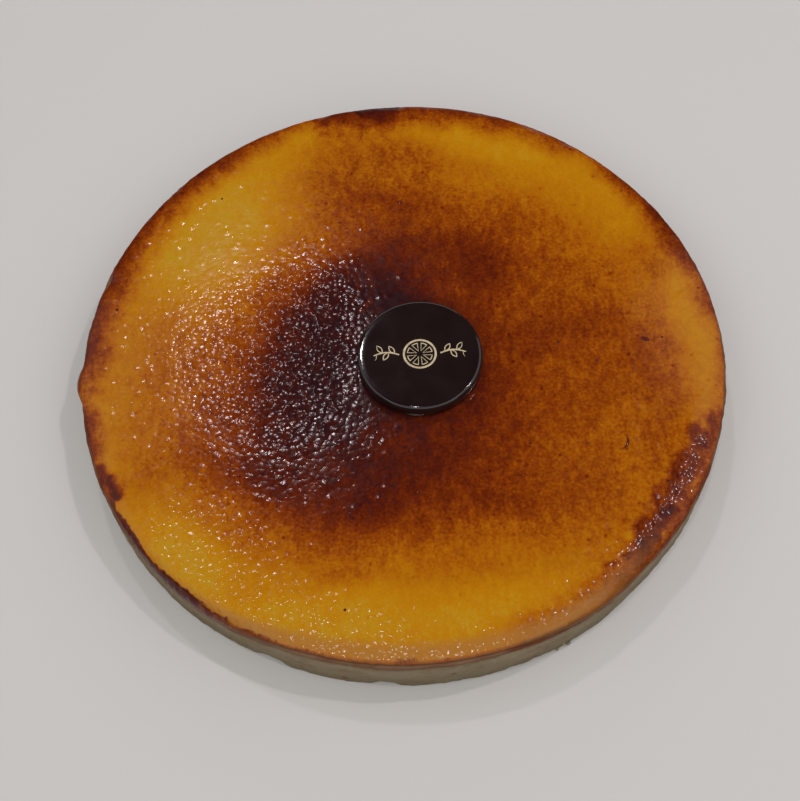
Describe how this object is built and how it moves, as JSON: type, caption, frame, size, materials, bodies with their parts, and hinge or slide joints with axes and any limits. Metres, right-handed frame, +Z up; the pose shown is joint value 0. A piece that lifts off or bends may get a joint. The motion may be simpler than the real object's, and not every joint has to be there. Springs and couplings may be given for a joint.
{
  "type": "orange tart",
  "caption": "Round low tart: pale straight-sided shortcrust case, orange custard filling with a blistered caramelised top lapping over the rim, and a small dark chocolate disc on it.",
  "frame": {"origin": "middle of the flat underside of the pastry case", "axes": "+Z up through the tart; -Y towards the front, where the pale pastry side shows; +X to the right"},
  "size_m": [0.2222, 0.2199, 0.0258],
  "materials": {
    "pastry": "matte pale baked shortcrust, crumbly",
    "caramelised_custard": "glossy blistered caramel over orange custard",
    "dark_chocolate": "satin moulded dark chocolate"
  },
  "bodies": {
    "root": {"pastry_case": "pastry", "custard": "caramelised_custard", "chocolate_disc": "dark_chocolate"}
  },
  "joints": []
}
